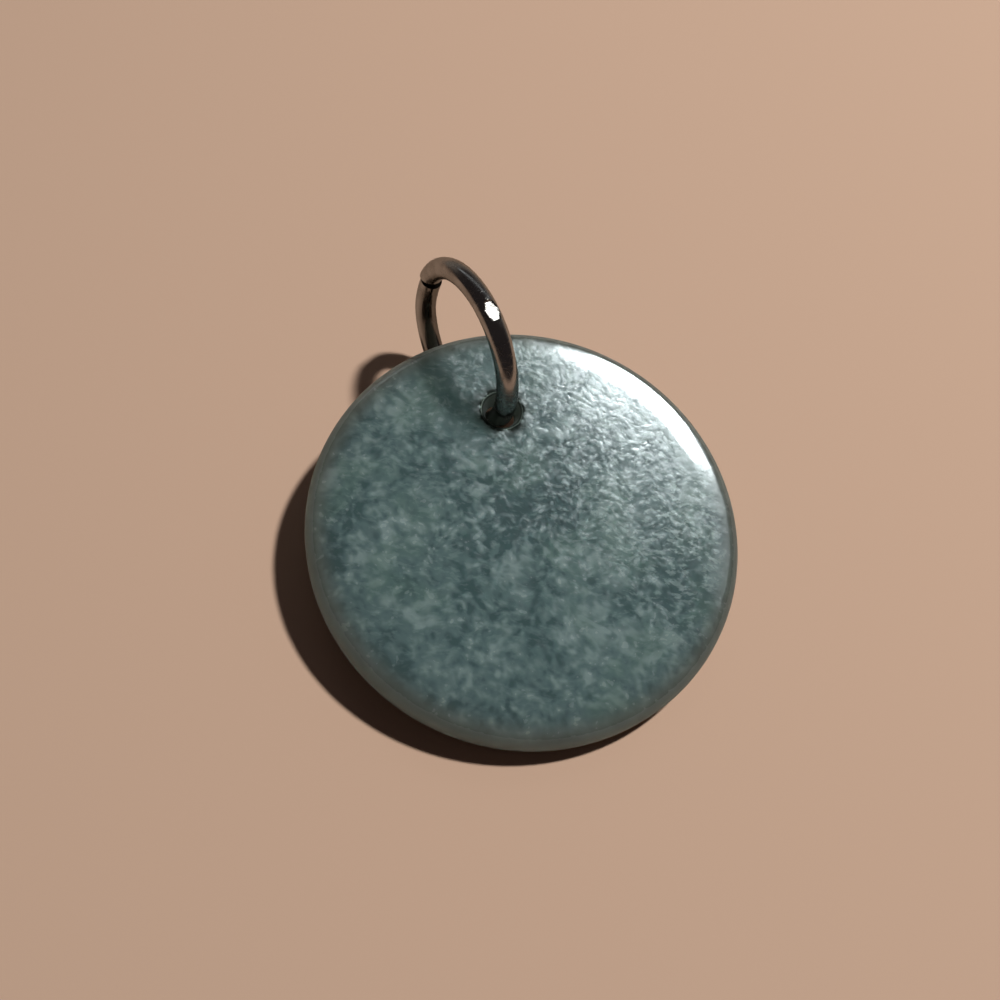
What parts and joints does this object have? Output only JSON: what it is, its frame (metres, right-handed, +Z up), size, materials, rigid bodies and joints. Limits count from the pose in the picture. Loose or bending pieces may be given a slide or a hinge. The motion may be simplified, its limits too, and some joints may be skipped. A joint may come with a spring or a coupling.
{
  "type": "jade disc pendant",
  "caption": "Thin round polished jade disc with softly rounded edges and a drilled hole near its rim, held by an open steel jump ring; it lies on a surface, propped up by its ring.",
  "frame": {"origin": "middle of the pendant's outline on the surface that it lies on", "axes": "+Z up from the surface; +Y towards the side that the ring props up; the disc tilts about X"},
  "size_m": [0.025, 0.0292, 0.0108],
  "materials": {
    "jade": "satin polish, mottled blue-green-grey",
    "ring_steel": "polished"
  },
  "bodies": {
    "root": {"jade_disc": "jade", "jump_ring": "ring_steel"}
  },
  "joints": []
}
